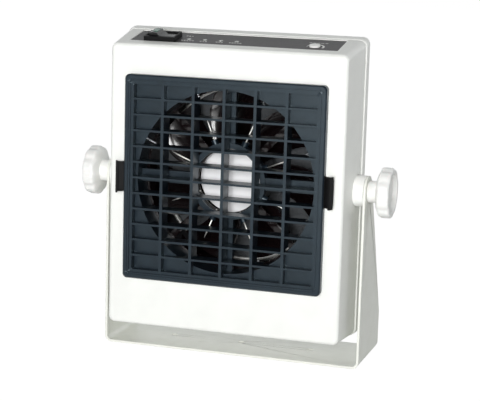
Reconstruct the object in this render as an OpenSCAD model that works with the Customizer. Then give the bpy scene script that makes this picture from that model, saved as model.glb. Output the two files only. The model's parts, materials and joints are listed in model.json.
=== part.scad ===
// Bench-top ionizing air blower: a tilting case in a U-shaped stand, with an axial fan behind
// eight emitter needles and a pull-off grille. Millimetres, +Z up, the front faces -Y.
// The origin is the centre of the middle bench hole, on the underside of the stand.

/* [Stand] */
// Thickness of the bent sheet
sheet_t = 1.6; // [1.2:0.1:2]
// Distance between the inner faces of the two arms
arm_gap = 172.4; // [172:0.2:176]
// Depth of the base plate, front to back
base_d = 57; // [54:1:62]
// Inside radius of the two bends
bend_r = 3; // [2:0.5:4]
// Height of the straight part at the back of each arm
arm_heel = 26; // [20:1:34]
// Radius of the rounded arm tip about the tilt axis
arm_tip_r = 10; // [9.5:0.5:12]
// Distance between neighbouring bench holes
hole_pitch = 48; // [40:1:52]
// Diameter of a bench hole
hole_d = 4.2; // [4:0.1:5]

/* [Tilt axis] */
// Height of the tilt axis above the bench
pivot_z = 115.2; // [114:0.2:117]
// Tilt axis behind the front edge of the arms
pivot_back = 10; // [10:0.5:12]
// Diameter of a clamp knob
knob_d = 32.4; // [30:0.2:36]
// Thickness of a knob's head
knob_t = 9; // [8:0.5:11]
// Length of the neck between the head and the arm
neck_l = 6.75; // [5:0.25:9]
// Number of finger flutes around a knob
flutes = 10; // [8:1:14]
// Diameter of the stud that a knob turns on
stud_d = 6; // [5:0.5:6]

/* [Case] */
// Width of the front face
case_w = 156; // [155:0.5:157]
// Height of the front face
case_h = 184; // [183:0.5:187]
// Height of the front face's lower edge above the bench
case_z = 19.5; // [19:0.5:22]
// Depth of the front shell, from the face to the seam
shell_d = 36; // [36:0.5:37]
// Depth from the front face to the rear wall's outside
case_d = 46; // [46:0.5:48]
// Draft of the two side walls, in degrees
side_draft = 3.8; // [3:0.2:4]
// Slope of the top face, which carries the controls, in degrees
panel_tilt = 10.4; // [10:0.2:11]
// Draft of the underside, in degrees
under_draft = 2.4; // [2:0.2:3]
// Thickness of the side walls
wall = 2.4; // [2.2:0.1:2.6]
// Thickness of the front wall
front_wall = 2.6; // [2.4:0.1:2.8]
// Radius of the long edges of the case
edge_r = 4; // [3.5:0.5:5]

/* [Grille] */
// Outside of the square grille frame
grille_w = 133; // [132:0.5:133]
// Height of the grille's centre above the bench
grille_z = 118; // [117:0.5:119]
// How far the grille frame stands out of the front face
grille_t = 5; // [4.5:0.5:6]
// Width and height of the field of bars
field_w = 121; // [120:0.5:122]
// Number of cells across
cells_x = 6; // [5:1:7]
// Number of cells down
cells_z = 12; // [10:1:13]
// Width of an upright bar
upright_t = 1.9; // [1.6:0.1:2.2]
// Thickness of a horizontal blade
blade_t = 1.3; // [1.1:0.1:1.6]

/* [Emitter] */
// Diameter of the round air opening
duct_d = 118; // [116:0.5:118]
// Number of needles
needles = 8; // [8:1:8]
// Outer end of a needle, from the fan's axis
needle_r = 42; // [38:1:44]
// Diameter of a needle
needle_d = 1; // [0.8:0.1:1.2]
// Depth of the needles behind the front face
needle_y = 11; // [11:0.5:11.5]

/* [Fan] */
// Size of the square fan frame
fan_w = 120; // [119:0.5:120]
// Thickness of the fan
fan_t = 25; // [25:0.5:25.5]
// Pitch of the fan's four screw holes
fan_pitch = 105; // [104:0.5:105]
// Diameter of the fan's hub
hub_d = 46; // [44:1:48]
// Number of fan blades
fan_blades = 7; // [5:1:9]

/* [Controls] */
// Width of the printed control strip
strip_w = 137.5; // [134:0.5:138]
// Depth of the control strip, along the slope
strip_d = 26; // [25:0.5:26]
// Distance from the front edge to the control strip
strip_s = 8.7; // [8.5:0.1:9]
// Distance between neighbouring indicator lamps
lamp_pitch = 10.7; // [10:0.1:11]
// Diameter of the speed dial
dial_d = 7; // [6.6:0.2:8]

/* [Hidden] */
$fn = 48;
soft_fn = 32;
eps = 0.01;
front_y = -47.5;
pivot_y = -base_d / 2 + pivot_back;
arm_x = arm_gap / 2;
arm_out = arm_x + sheet_t;
head_x = arm_out + neck_l;
case_top = case_z + case_h;
seam_gap = 0.4;
rim_proud = 0.6;
rim_d = 42;
front_round = 2.4;
plate_t = 1.6;
open_w = 129;
fan_y = case_d - 2.5 - fan_t;
post_x = 70;
post_z = [27.5, 196];
needle_step = 360 / needles;
needle_in = 20.8;
rocker_x = -49.2;
rocker_s = 17.4;
rocker_w = 21;
rocker_h = 16;
rocker_rest = 12;
lamp_x = -32;
lamp_s = 19.3;
dial_x = 52;
dial_s = 17;
board_z = -10.5;
board_x = [-31, 60.5];
board_s = [11, 28.4];
rocker_axis = -1.2;
corner_steps = 6;
blade_rows = 6;
blade_cols = 8;
earth_x = -10;
frame_screw_x = 50;
frame_screw_z = 67.6;
filter_hook_x = 63.4;
filter_hook_z = 35;
latch_x = 64;
latch_y = -2.6;
latch_h = 20.6;
latch_barrel = 2.4;
latch_lean = 25;
fan_bore_r = fan_w / 2 - 2.2;
inlet_x = 40;
inlet_z = 37;
white = "#f4f4ef";
cream = "#e9e9e0";
slate = "#3a4148";
black = "#1b1c1f";

// ---- helpers ----

// Rounded rectangle about the origin.
module rounded(w, h, r) {
  square([w - 2 * r, h], center = true);
  square([w, h - 2 * r], center = true);
  for (sx = [-1, 1], sy = [-1, 1])
    translate([sx * (w / 2 - r), sy * (h / 2 - r)]) circle(r);
}

// Extrudes an X-Z outline towards the back, from depth d0 to depth d1 behind the front face.
module deep(d0, d1) {
  translate([0, front_y + d1, 0]) rotate([90, 0, 0]) linear_extrude(d1 - d0) children();
}

// The same for an outline centred on the fan's axis.
module axial(d0, d1) {
  deep(d0, d1) translate([0, grille_z]) children();
}

// Lays children out at an angle around the fan's axis: local +X is radial, local Z points back.
module around(angle, depth) {
  translate([0, front_y + depth, grille_z]) rotate([0, -angle, 0]) rotate([-90, 0, 0]) children();
}

// Places children on the sloping top face: X along it, Y up the slope, Z out of it.
module on_panel(x, s) {
  translate([x, front_y, case_top]) rotate([panel_tilt, 0, 0]) translate([0, s, 0]) children();
}

// A rod along X between two places.
module rod_x(x0, x1, d, y = pivot_y, z = pivot_z) {
  translate([min(x0, x1), y, z]) rotate([0, 90, 0]) cylinder(d = d, h = abs(x1 - x0));
}

// A rod along Y between two depths behind the front face.
module rod_y(d0, d1, d, x, z) {
  translate([x, front_y + d0, z]) rotate([-90, 0, 0]) cylinder(d = d, h = d1 - d0);
}

// Sections of the flared case at a depth behind the front face.
function half_w(d) = case_w / 2 + d * tan(side_draft);
function top_at(d) = case_top + d * tan(panel_tilt);
function low_at(d) = case_z - d * tan(under_draft);

// Outline of the flared case at one depth, drawn in from the surface by an inset.
function ring(d, inset, r) = [
  for (corner = [0:3], k = [0:corner_steps])
    let (
      a = 90 * (corner + k / corner_steps),
      side = corner == 0 || corner == 3 ? 1 : -1,
      cx = side * (half_w(d) - inset - r),
      cz = corner < 2 ? top_at(d) - inset - r : low_at(d) + inset + r
    )
    [cx + r * cos(a), front_y + d, cz + r * sin(a)]
];

// A closed skin through outlines of the case, from front to back. Each station is [depth, inset].
module loft(stations) {
  m = 4 * (corner_steps + 1);
  last = (len(stations) - 1) * m;
  points = [for (s = stations) each ring(s[0], s[1], max(0.8, edge_r - s[1]))];
  front = [[for (i = [m - 1:-1:0]) i]];
  back = [[for (i = [0:m - 1]) last + i]];
  sides = [for (row = [0:m:last - m], i = [0:m - 1])
    let (j = (i + 1) % m) [row + i, row + j, row + m + j, row + m + i]];
  polyhedron(points, concat(front, back, split(sides)), convexity = 6);
}

// Splits four-cornered faces into triangles, so that a curved skin has flat facets.
function split(faces) = [for (f = faces, half = [0, 1])
  half == 0 ? [f[0], f[1], f[2]] : [f[0], f[2], f[3]]];

// ---- stand ----

// Where the sloping back of an arm meets its round tip, as an angle about the tilt axis.
function touch_angle() =
  atan2(arm_heel - pivot_z, base_d / 2 - pivot_y)
  + acos(arm_tip_r / norm([base_d / 2 - pivot_y, arm_heel - pivot_z]));

// An arm seen from the side: upright front edge, round tip, sloping back, straight heel.
module arm_outline() {
  translate([pivot_y, pivot_z]) circle(arm_tip_r, $fn = 96);
  polygon([
    [-base_d / 2, 0],
    [base_d / 2, 0],
    [base_d / 2, arm_heel],
    [pivot_y + arm_tip_r * cos(touch_angle()), pivot_z + arm_tip_r * sin(touch_angle())],
    [pivot_y, pivot_z],
    [pivot_y - arm_tip_r, pivot_z]
  ]);
}

// The sheet seen from the front: a base with two upturned arms and rounded bends.
module sheet_profile() {
  tall = pivot_z + arm_tip_r + 30;
  difference() {
    translate([0, tall / 2]) rounded(2 * arm_out, tall, bend_r + sheet_t);
    translate([0, sheet_t + tall / 2]) rounded(arm_gap, tall, bend_r);
  }
}

module stand_bracket() {
  color(cream) difference() {
    intersection() {
      translate([0, base_d / 2, 0]) rotate([90, 0, 0]) linear_extrude(base_d) sheet_profile();
      translate([-arm_out, 0, 0]) rotate([90, 0, 90]) linear_extrude(2 * arm_out) arm_outline();
    }
    for (k = [-1, 0, 1])
      translate([k * hole_pitch, 0, -1]) cylinder(d = hole_d, h = sheet_t + 2);
    rod_x(-arm_out - 1, arm_out + 1, stud_d + 0.12);
  }
}

// ---- tilt axis, drawn for the right side and mirrored for the left ----

// A moulded knob: neck, rounded fluted head and a dish in the outer face.
module knob() {
  r = knob_d / 2;
  round_r = 1.6;
  z1 = neck_l;
  z2 = neck_l + knob_t;
  translate([arm_out, pivot_y, pivot_z]) rotate([0, 90, 0]) difference() {
    union() {
      translate([0, 0, 0.1]) cylinder(d = 14, h = z1);
      translate([0, 0, z1]) cylinder(r1 = r - 3.6, r2 = r - round_r, h = 1.2);
      rotate_extrude($fn = 96) {
        translate([0, z1 + 1.2]) square([r - round_r, knob_t - 1.2]);
        translate([r - round_r - eps, z1 + 1.2 + round_r]) square([round_r, knob_t - 1.2 - 2 * round_r]);
        translate([r - round_r, z1 + 1.2 + round_r]) circle(round_r);
        translate([r - round_r, z2 - round_r]) circle(round_r);
      }
    }
    for (k = [0:flutes - 1])
      rotate([0, 0, (k + 0.5) * 360 / flutes])
        translate([r + 2.4, 0, z1 - 1]) cylinder(d = 6.4, h = knob_t + 2);
    translate([0, 0, z2 - 3]) cylinder(r1 = r - 5, r2 = r - 4, h = 3.1);
    translate([0, 0, -1]) cylinder(d = stud_d + 0.04, h = neck_l + 5);
  }
}

// The threaded stud, which turns with its knob.
module stud() {
  rod_x(seat_x() - 8, head_x + 3.9, stud_d);
}

// The flat seat that is cut into the sloping side wall under the spacer.
function pivot_d() = pivot_y - front_y;
function seat_x() = half_w(pivot_d() - 10.2) - 0.1;

// The round spacer between the case and the arm.
module spacer() {
  difference() {
    rod_x(seat_x(), arm_x - 0.1, 20);
    rod_x(seat_x() - 1, arm_x + 1, stud_d + 0.5);
  }
}

// The threaded insert that is moulded into the side wall.
module insert() {
  difference() {
    union() {
      rod_x(seat_x() - 8.5, seat_x(), 8.4);
      rod_x(seat_x() - 7.5, seat_x() - 4.8, 9);
      rod_x(seat_x() - 3.2, seat_x() - 0.6, 9);
    }
    rod_x(seat_x() - 10, seat_x() + 1, stud_d + 0.1);
  }
}

module knob_right() { color(white) knob(); }
module knob_left() { color(white) mirror([1, 0, 0]) knob(); }
module stud_right() { color("silver") stud(); }
module stud_left() { color("silver") mirror([1, 0, 0]) stud(); }
module spacer_right() { color(white) spacer(); }
module spacer_left() { color(white) mirror([1, 0, 0]) spacer(); }
module insert_right() { color("goldenrod") insert(); }
module insert_left() { color("goldenrod") mirror([1, 0, 0]) insert(); }

// ---- case ----

// The front shell: flared walls, a square opening, pivot bosses and screw posts.
module front_case() {
  color(white) difference() {
    union() {
      difference() {
        loft(concat(
          [for (a = [0:22.5:90]) [front_round * (1 - cos(a)), front_round * (1 - sin(a))]],
          [[shell_d, 0]]
        ));
        loft([[front_wall, wall], [shell_d + 1, wall]]);
      }
      for (sx = [-1, 1], z = post_z) rod_y(front_wall - 0.4, case_d - 2.7, 7.6, sx * post_x, z);
      for (sx = [-1, 1]) rod_x(sx * (seat_x() - 10), sx * (half_w(22) - 1), 13);
      for (x = board_x, s = board_s)
        on_panel(x, s) translate([0, 0, board_z + plate_t]) cylinder(d = 5, h = -board_z - plate_t - 1.6);
      for (x = [-50, -8]) translate([x, front_y + 6, 19.8]) cube([3, 26, 2.6]);
      for (x = [16, 56]) translate([x, front_y + 6, 19.8]) cube([3, 22, 4.2]);
    }
    axial(-1, front_wall + 1) rounded(open_w, open_w, 3);
    on_panel(0, strip_s + strip_d / 2) translate([-strip_w / 2, -strip_d / 2, -0.9])
      cube([strip_w, strip_d, 3]);
    on_panel(rocker_x, rocker_s) cube([19.4, 14, 14], center = true);
    for (k = [0:3]) on_panel(lamp_x + k * lamp_pitch, lamp_s) cylinder(d = 3.3, h = 12, center = true);
    on_panel(dial_x, dial_s) cylinder(d = 3.6, h = 12, center = true);
    for (sx = [-1, 1]) {
      rod_x(sx * seat_x(), sx * (seat_x() + 12), 20.4);
      rod_x(sx * (seat_x() - 12), sx * (seat_x() + 1), 9.04);
      translate([sx * (latch_x + 5.7), front_y, grille_z]) cube([4.4, 8, 15.2], center = true);
      for (z = post_z) rod_y(26, case_d, 2.84, sx * post_x, z);
      for (z = [-1, 1]) rod_y(1, front_wall + 1, 2.24, sx * frame_screw_x, grille_z + z * frame_screw_z);
    }
  }
}

// The rear cover: a proud rim behind the seam, a tongue inside the shell and a flat back wall.
module rear_cover() {
  start = shell_d + seam_gap;
  tip_r = case_d - rim_d;
  color(white) difference() {
    union() {
      difference() {
        loft(concat(
          [[start, -0.1], [start + 0.5, -rim_proud]],
          [for (a = [0:18:90]) [rim_d + tip_r * sin(a), tip_r * (1 - cos(a)) - rim_proud]]
        ));
        loft([[start - 1, wall], [case_d - 2.5, wall]]);
      }
      difference() {
        loft([
          [start - 4.4, wall + 0.4], [start, wall + 0.4], [start + 0.4, wall - 0.1], [start + 2, wall - 0.1]
        ]);
        loft([[start - 5, wall + 2], [start + 3, wall + 2]]);
        translate([-100, front_y + start - 5, pivot_z - 8]) cube([200, 5, 16]);
      }
    }
    axial(case_d - 4, case_d + 1) circle(d = 114, $fn = 96);
    for (sx = [-1, 1], sz = [-1, 1]) {
      rod_y(case_d - 4, case_d + 1, 4.4, sx * fan_pitch / 2, grille_z + sz * fan_pitch / 2);
      translate([sx * filter_hook_x, front_y + case_d, grille_z + sz * filter_hook_z])
        cube([2.2, 8, 9], center = true);
    }
    for (sx = [-1, 1], z = post_z) rod_y(case_d - 4, case_d + 1, 3.1, sx * post_x, z);
    deep(case_d - 4, case_d + 1) translate([inlet_x, inlet_z]) rounded(27.4, 20.2, 2);
    rod_y(case_d - 4, case_d + 1, 4.2, earth_x, inlet_z);
    for (sx = [-1, 1]) rod_x(sx * seat_x(), sx * (seat_x() + 12), 20.4);
  }
}

// A pan-head screw through the back wall.
module cover_screw(sx, z) {
  color("silver") difference() {
    union() {
      rod_y(30, case_d + 0.5, 2.8, sx * post_x, z);
      rod_y(case_d, case_d + 1.4, 5.6, sx * post_x, z);
      translate([sx * post_x, front_y + case_d + 1.4, z]) rotate([-90, 0, 0])
        cylinder(d1 = 5.6, d2 = 4, h = 0.7);
    }
    for (a = [0, 90]) translate([sx * post_x, front_y + case_d + 2, z]) rotate([0, a, 0])
      cube([3.2, 2.2, 0.7], center = true);
  }
}

module cover_screw_1() { cover_screw(-1, post_z[0]); }
module cover_screw_2() { cover_screw(1, post_z[0]); }
module cover_screw_3() { cover_screw(-1, post_z[1]); }
module cover_screw_4() { cover_screw(1, post_z[1]); }

// ---- grille and its two latches ----

// The field of bars as an outline: upright bars and horizontal blades.
module bars() {
  step_x = (field_w + upright_t) / cells_x;
  step_z = (field_w + blade_t) / cells_z;
  for (k = [1:cells_x - 1])
    translate([-field_w / 2 - upright_t / 2 + k * step_x, 0])
      square([upright_t, field_w + 1], center = true);
  for (k = [1:cells_z - 1])
    translate([0, -field_w / 2 - blade_t / 2 + k * step_z])
      square([field_w + 1, blade_t], center = true);
}

// The pull-off grille: a bevelled frame, a lower inner lip, and bars that run deeper in the duct.
module grille() {
  bevel = 0.8;
  color(slate) difference() {
    union() {
      difference() {
        union() {
          axial(-grille_t + bevel, 0) rounded(grille_w, grille_w, 3);
          translate([0, front_y - grille_t + bevel, grille_z]) rotate([90, 0, 0])
            linear_extrude(bevel, scale = 1 - 2 * bevel / grille_w, slices = 1)
              rounded(grille_w, grille_w, 3, $fn = soft_fn);
        }
        axial(-grille_t - 1, 1) rounded(field_w, field_w, 1);
        axial(-grille_t - 1, -grille_t + 0.9) rounded(field_w + 4, field_w + 4, 1.5);
        axial(-grille_t - 1, -grille_t + 0.5) difference() {
          rounded(field_w + 6.6, field_w + 6.6, 2);
          rounded(field_w + 5.4, field_w + 5.4, 1.6);
        }
      }
      axial(-grille_t + 0.9, 0.7) bars();
      axial(0, 7) intersection() {
        bars();
        circle(d = duct_d - 4, $fn = 96);
      }
    }
    for (sx = [-1, 1]) {
      translate([sx * (latch_x + 3.7), front_y + latch_y - latch_barrel / 2 - 0.1 + 5, grille_z])
        cube([10, 10, latch_h + 0.6], center = true);
      translate([sx * latch_x, front_y + latch_y, grille_z])
        cylinder(d = 1.7, h = latch_h + 4, center = true);
    }
  }
}

// A side latch: hinge barrel with two trunnions, a finger tab with a turned-up lip, and a tongue.
module latch() {
  translate([latch_x, front_y + latch_y, grille_z]) {
    cylinder(d = latch_barrel, h = latch_h, center = true);
    cylinder(d = 1.6, h = latch_h + 3.4, center = true);
    translate([0, -0.3, -latch_h / 2]) cube([2.6, 2.2, latch_h]);
    translate([4.4, -0.3, -6.8]) cube([1.6, 8.6, 13.6]);
    translate([2, 0.5, 0]) rotate([0, 0, -latch_lean]) {
      translate([0, 0, -latch_h / 2 + 0.5]) cube([6.4, 1.2, latch_h - 1]);
      translate([5.4, -2.6, -latch_h / 2]) cube([1.2, 3.8, latch_h]);
      for (z = [-1, 1]) translate([3.8, -0.5, z * (latch_h / 2 - 1.1)]) cube([3.6, 1.4, 1], center = true);
    }
  }
}

module latch_right() { color(black) latch(); }
module latch_left() { color(black) mirror([1, 0, 0]) latch(); }

// ---- emitter ----

// Carrier of the needles: front plate, flange, round duct, four spokes, hub ring and sockets.
module emitter_frame() {
  duct_end = fan_y - 0.3;
  color(black) difference() {
    union() {
      axial(1, front_wall + 0.1) rounded(open_w - 0.6, open_w - 0.6, 2.8);
      axial(front_wall + 0.1, 4.6) rounded(132, 142, 3);
      axial(4, duct_end) circle(d = duct_d + 5, $fn = 96);
    }
    axial(0, duct_end + 1) circle(d = duct_d, $fn = 96);
    for (sx = [-1, 1], sz = [-1, 1]) rod_y(0, 9, 2.4, sx * frame_screw_x, grille_z + sz * frame_screw_z);
    for (k = [0:needles - 1]) around((k + 0.5) * needle_step, needle_y) rotate([0, 90, 0])
      translate([0, 0, duct_d / 2 - 2]) cylinder(d = 1.64, h = 8);
  }
  color(black) difference() {
    union() {
      axial(needle_y - 3.2, needle_y + 3.2) circle(d = 50);
      for (a = [0:90:270]) around(a, needle_y) translate([23, -4, -2]) cube([duct_d / 2 - 22, 8, 4]);
      for (a = [0:90:270]) around(a, needle_y) translate([23, -0.8, 1.9]) cube([duct_d / 2 - 22, 1.6, 2.2]);
      for (k = [0:needles - 1]) around((k + 0.5) * needle_step, needle_y) rotate([0, 90, 0])
        translate([0, 0, 23.5]) cylinder(d = 4.4, h = 4.5);
    }
    axial(needle_y - 4, needle_y + 4) circle(d = 43);
    for (k = [0:needles - 1]) around((k + 0.5) * needle_step, needle_y) rotate([0, 90, 0])
      translate([0, 0, 16]) cylinder(d = needle_d + 0.04, h = 16);
  }
}

// The four screws that hold the emitter frame's flange.
module frame_screws() {
  color("silver") for (sx = [-1, 1], sz = [-1, 1]) {
    rod_y(1.2, 5, 2.2, sx * frame_screw_x, grille_z + sz * frame_screw_z);
    rod_y(4.6, 6, 4.2, sx * frame_screw_x, grille_z + sz * frame_screw_z);
  }
}

// An emitter needle: a straight wire with a long sharp point at its outer end.
module needle(k) {
  color("silver") around((k - 0.5) * needle_step, needle_y) rotate([0, 90, 0]) {
    translate([0, 0, needle_in]) cylinder(d = needle_d, h = needle_r - 4 - needle_in);
    translate([0, 0, needle_r - 4]) cylinder(d1 = needle_d, d2 = 0.16, h = 4);
  }
}

module needle_1() { needle(1); }
module needle_2() { needle(2); }
module needle_3() { needle(3); }
module needle_4() { needle(4); }
module needle_5() { needle(5); }
module needle_6() { needle(6); }
module needle_7() { needle(7); }
module needle_8() { needle(8); }

// The high-voltage ring that joins the inner ends of the needles.
module bus_ring() {
  color("goldenrod") axial(needle_y + needle_d / 2, needle_y + needle_d / 2 + 1) difference() {
    circle(d = 42.9);
    circle(r = needle_in - 0.1);
  }
}

// The earthed band around the duct, with a short pin facing each needle.
module earth_ring() {
  color("silver") {
    axial(needle_y - 1.5, needle_y + 1.5) difference() {
      circle(d = duct_d + 8.4, $fn = 96);
      circle(d = duct_d + 5.04, $fn = 96);
    }
    for (k = [0:needles - 1]) around((k + 0.5) * needle_step, needle_y) rotate([0, 90, 0])
      translate([0, 0, duct_d / 2 - 4.6]) cylinder(d = 1.6, h = 8);
  }
}

// ---- fan ----

// The square fan frame: two flanges, barrel, four struts, motor base and bearing tube.
module fan_frame() {
  fan_end = fan_y + fan_t;
  color(black) difference() {
    union() {
      difference() {
        union() {
          axial(fan_y, fan_y + 4) rounded(fan_w, fan_w, 4);
          axial(fan_end - 4, fan_end) rounded(fan_w, fan_w, 4);
          axial(fan_y + 3.9, fan_end - 3.9) circle(d = fan_w - 0.6, $fn = 96);
        }
        axial(fan_y - 1, fan_end + 1) circle(r = fan_bore_r, $fn = 96);
      }
      axial(fan_y + 0.2, fan_y + 3.2) circle(d = hub_d);
      for (a = [45:90:315]) around(a, fan_y + 0.2)
        translate([hub_d / 2 - 1, -2.1, 0]) cube([fan_bore_r - hub_d / 2 + 1.4, 4.2, 2.6]);
      rod_y(fan_y + 3, fan_y + 19, 11, 0, grille_z);
    }
    for (sx = [-1, 1], sz = [-1, 1])
      rod_y(fan_y - 1, fan_end + 1, 4.3, sx * fan_pitch / 2, grille_z + sz * fan_pitch / 2);
    rod_y(fan_y + 2.2, fan_y + 20, 8.04, 0, grille_z);
  }
}

// The round plate label on the motor base, left bare.
module motor_label() {
  color("whitesmoke") axial(fan_y - 0.1, fan_y + 0.2) circle(d = hub_d - 2.6);
}

// Laminated stator with four wound poles.
module stator() {
  color("peru") axial(fan_y + 6.5, fan_y + 15.5) difference() {
    circle(d = 35);
    circle(d = 11.04);
    for (a = [0:90:270]) rotate(a + 45) translate([8, -2]) square([12, 4]);
    for (a = [0:90:270]) rotate(a + 45) translate([10, -5]) square([4.4, 10]);
  }
}

module bearing(d0) {
  color("silver") difference() {
    rod_y(d0, d0 + 3, 8, 0, grille_z);
    rod_y(d0 - 1, d0 + 4, 3.04, 0, grille_z);
  }
}

module bearing_front() { bearing(fan_y + 3.4); }
module bearing_rear() { bearing(fan_y + 15); }

// A blade's camber surface: v runs from hub to tip, u from the outlet edge to the intake edge.
function blade_r(v) = hub_d / 2 - 0.4 + v * (fan_bore_r - 1.2 - hub_d / 2 + 0.4);
function blade_angle(u, v) = 13 * v * v + (u - 0.5) * (43 - 9 * v);
function blade_depth(u, v) = fan_y + 7 + 1.2 * v + (14.5 - 3.4 * v) * pow(u, 1.15);
function blade_half(u) = 0.22 + 0.75 * pow(sin(180 * u), 0.7) * (1.15 - 0.5 * u);
function blade_point(u, v, side) = [
  blade_r(v) * cos(blade_angle(u, v)),
  blade_r(v) * sin(blade_angle(u, v)),
  blade_depth(u, v) + side * blade_half(u)
];

module fan_blade() {
  row = blade_cols + 1;
  n = (blade_rows + 1) * row;
  last = blade_rows * row;
  points = [for (side = [-1, 1], i = [0:blade_rows], j = [0:blade_cols])
    blade_point(j / blade_cols, i / blade_rows, side)];
  skin = [for (i = [0:blade_rows - 1], j = [0:blade_cols - 1])
    let (p = i * row + j) [p, p + row, p + row + 1, p + 1]];
  back = [for (f = skin) [f[3] + n, f[2] + n, f[1] + n, f[0] + n]];
  hub_edge = [for (j = [0:blade_cols - 1]) [j, j + 1, j + 1 + n, j + n]];
  tip_edge = [for (j = [last:last + blade_cols - 1]) [j + n, j + 1 + n, j + 1, j]];
  out_edge = [for (p = [0:row:last - row]) [p + n, p + row + n, p + row, p]];
  in_edge = [for (p = [blade_cols:row:last - 1]) [p, p + row, p + row + n, p + n]];
  polyhedron(points, split(concat(skin, back, hub_edge, tip_edge, out_edge, in_edge)), convexity = 4);
}

// The rotor: a hub cup, closed at the intake side, with swept blades.
module rotor() {
  color(black) {
    difference() {
      rod_y(fan_y + 3.9, fan_y + 23.4, hub_d, 0, grille_z);
      rod_y(fan_y + 3, fan_y + 21.6, hub_d - 3, 0, grille_z);
    }
    difference() {
      rod_y(fan_y + 19.4, fan_y + 22, 9, 0, grille_z);
      rod_y(fan_y + 19, fan_y + 21.6, 3.02, 0, grille_z);
    }
    translate([0, front_y, grille_z]) rotate([-90, 0, 0])
      for (k = [0:fan_blades - 1]) rotate([0, 0, k * 360 / fan_blades]) fan_blade();
  }
}

// The magnet ring inside the hub cup.
module magnet_ring() {
  color("dimgray") axial(fan_y + 5, fan_y + 17) difference() {
    circle(d = hub_d - 3.04);
    circle(d = hub_d - 7);
  }
}

module fan_shaft() {
  color("silver") rod_y(fan_y + 3.4, fan_y + 21.6, 3, 0, grille_z);
}

// The four screws that hold the fan to the back wall.
module fan_screws() {
  color("silver") for (sx = [-1, 1], sz = [-1, 1]) {
    rod_y(case_d - 10, case_d + 0.5, 4.2, sx * fan_pitch / 2, grille_z + sz * fan_pitch / 2);
    rod_y(case_d, case_d + 2, 7.2, sx * fan_pitch / 2, grille_z + sz * fan_pitch / 2);
  }
}

// ---- electronics ----

// The potted high-voltage block, lying under the fan.
module hv_module() {
  color("#26282c") {
    translate([-62, front_y + 6, 22.4]) cube([68, 25.6, 26]);
    translate([-28, front_y + 12, 48]) cylinder(d = 6, h = 4.4);
    for (x = [-54, -46, -38]) translate([x, front_y + 30, 30]) rotate([-90, 0, 0]) cylinder(d = 2, h = 6);
  }
}

// The power board with its transformer, capacitors and connector.
module power_board() {
  color("darkgreen") translate([12, front_y + 6, 24]) cube([50, 23, 1.6]);
  color("dimgray") {
    translate([16, front_y + 9, 25.5]) cube([20, 17, 16]);
    translate([44, front_y + 14, 25.5]) cylinder(d = 10, h = 18);
    translate([54, front_y + 14, 25.5]) cylinder(d = 8, h = 14);
    translate([40, front_y + 21, 25.5]) cube([18, 6, 7]);
  }
}

// The control board under the top face.
module control_board() {
  color("darkgreen") on_panel(0, 0) difference() {
    translate([-36, 7, board_z]) cube([100, 26, plate_t]);
    for (x = board_x, s = board_s) translate([x, s, board_z - 1]) cylinder(d = 2.4, h = 4);
  }
}

// ---- controls on the top face ----

// The printed strip that lies in its recess, with openings for the controls.
module control_strip() {
  color("#4a4c4e") difference() {
    on_panel(0, strip_s + strip_d / 2) translate([0, 0, -0.9]) linear_extrude(0.5)
      rounded(strip_w - 0.5, strip_d - 0.5, 0.8);
    on_panel(rocker_x, rocker_s) cube([19.4, 14, 8], center = true);
    for (k = [0:3]) on_panel(lamp_x + k * lamp_pitch, lamp_s) cylinder(d = 3.2, h = 8, center = true);
    on_panel(dial_x, dial_s) cylinder(d = 3.6, h = 8, center = true);
  }
}

// The switch housing: a bezel over a narrower body with terminals.
module rocker_housing() {
  color(black) on_panel(rocker_x, rocker_s) difference() {
    union() {
      translate([0, 0, -0.4]) linear_extrude(3.2) rounded(rocker_w, rocker_h, 0.8);
      translate([-9.5, -6.8, -13.5]) cube([19, 13.6, 13.4]);
      for (x = [-6, 6]) translate([x - 0.4, -2.4, -20]) cube([0.8, 4.8, 7]);
    }
    translate([-9.4, -5.8, -0.6]) cube([18.8, 11.6, 5]);
    translate([-8.6, -5.8, -8]) cube([17.2, 11.6, 8]);
    translate([0, 0, rocker_axis]) rotate([90, 0, 0]) cylinder(d = 3.08, h = 13, center = true);
  }
}

// A rocker's side view about its axis: a shallow V on top, drawn in the middle position.
module rocker_side() {
  polygon([[-8.2, 5], [-8.2, 3], [-5.4, -3.4], [5.4, -3.4], [8.2, 3], [8.2, 5], [0, 3.3]]);
}

// The clear cap let into the raised end of the rocker.
module lens_side() {
  polygon([[-8.25, 5.01], [-3.6, 4.05], [-3.6, 2.7], [-8.25, 3.66]]);
}

// Puts a rocker outline in place at its resting angle.
module rocker_slab(width) {
  on_panel(rocker_x, rocker_s) translate([0, 0, rocker_axis]) rotate([0, rocker_rest, 0])
    rotate([90, 0, 0]) linear_extrude(width, center = true) children();
}

module rocker() {
  color(black) {
    difference() {
      rocker_slab(11.2) rocker_side();
      rocker_slab(9.04) lens_side();
    }
    on_panel(rocker_x, rocker_s) translate([0, 0, rocker_axis]) rotate([90, 0, 0])
      cylinder(d = 3, h = 12.6, center = true);
  }
}

module rocker_lens() {
  color("seagreen") rocker_slab(9) intersection() {
    lens_side();
    translate([-8.2, 0]) square([20, 10]);
  }
}

// An indicator lamp standing on the control board.
module lamp(k) {
  foot = board_z + plate_t;
  color("#cfd8c8") on_panel(lamp_x + (k - 1) * lamp_pitch, lamp_s) {
    translate([0, 0, foot]) cylinder(d = 3.8, h = 1);
    translate([0, 0, foot]) cylinder(d = 3, h = -foot - 1);
    translate([0, 0, -1]) sphere(d = 3);
  }
}

module lamp_1() { lamp(1); }
module lamp_2() { lamp(2); }
module lamp_3() { lamp(3); }
module lamp_4() { lamp(4); }

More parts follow.
